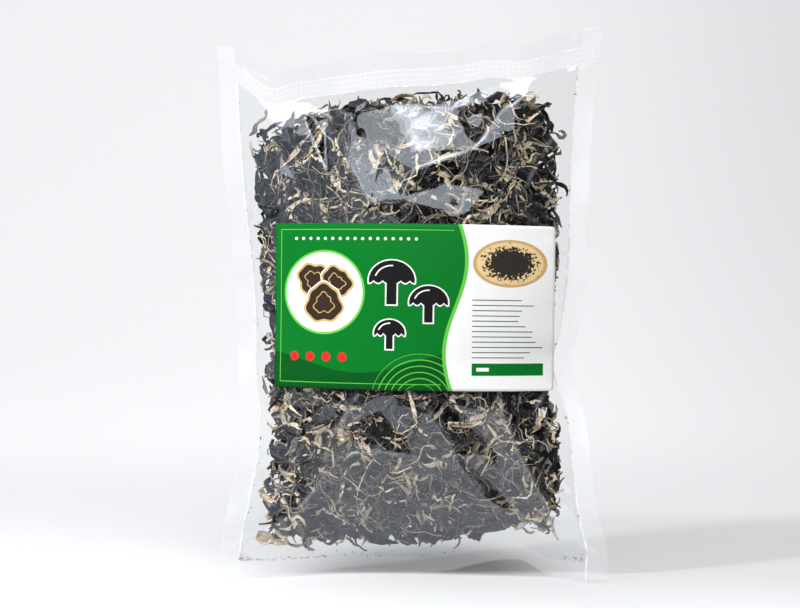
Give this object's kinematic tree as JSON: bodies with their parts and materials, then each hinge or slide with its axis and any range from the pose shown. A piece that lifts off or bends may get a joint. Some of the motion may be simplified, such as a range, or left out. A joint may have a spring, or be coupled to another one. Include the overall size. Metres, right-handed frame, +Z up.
{
  "type": "bag of dried wood ear mushroom shreds",
  "caption": "Sealed clear film pouch, pillow shaped and creased, packed with dried shredded wood ear fungus, with a blank printed label on its front; it stands on its bottom seam.",
  "frame": {"origin": "on the floor under the middle of the standing pouch", "axes": "+Z up the pouch from its bottom seam to its top seam, +Y from its labelled front to its back, +X to the right seen from the front"},
  "size_m": [0.2626, 0.0762, 0.3675],
  "materials": {
    "clear_film": "clear glossy film, milky at the welded seams",
    "label_paper": "coated paper printed green and white",
    "pale_shred": "dry and matt, tan",
    "dark_shred": "dry, slightly glossy, near black"
  },
  "bodies": {
    "root": {"film_front": "clear_film", "film_back": "clear_film", "label": "label_paper", "shred_mass": "dark_shred", "shred_long_middle": "pale_shred", "shred_broad_right": "pale_shred", "shred_prong_right": "pale_shred", "shred_curl_upper_left": "dark_shred", "shred_fork_upper_left": "pale_shred", "shred_arm_upper_left": "pale_shred", "shred_sweep_left": "pale_shred", "shred_ring_right": "dark_shred", "shred_low_blade": "pale_shred", "shred_low_flag": "pale_shred", "shred_low_spike_left": "pale_shred", "shred_low_hook_left": "dark_shred", "shred_low_spike_middle": "pale_shred", "shred_low_hook_right": "pale_shred", "shred_low_wave": "pale_shred", "shred_low_arc": "dark_shred", "shred_left_hook": "pale_shred", "shred_left_fork": "pale_shred", "shred_front_01": "pale_shred", "shred_front_02": "dark_shred", "shred_front_03": "pale_shred", "shred_front_04": "dark_shred", "shred_front_05": "pale_shred", "shred_front_06": "dark_shred", "shred_front_07": "pale_shred", "shred_front_08": "dark_shred", "shred_front_09": "pale_shred", "shred_front_10": "dark_shred", "shred_back_01": "pale_shred", "shred_back_02": "dark_shred", "shred_back_03": "pale_shred", "shred_back_04": "dark_shred", "shred_back_05": "pale_shred", "shred_back_06": "dark_shred", "shred_back_07": "pale_shred", "shred_back_08": "dark_shred", "shred_back_09": "pale_shred", "shred_back_10": "dark_shred", "shred_back_11": "pale_shred", "shred_back_12": "dark_shred", "shred_back_13": "pale_shred", "shred_back_14": "dark_shred", "shred_back_15": "pale_shred", "shred_back_16": "dark_shred", "shred_back_17": "pale_shred", "shred_back_18": "dark_shred"}
  },
  "joints": []
}
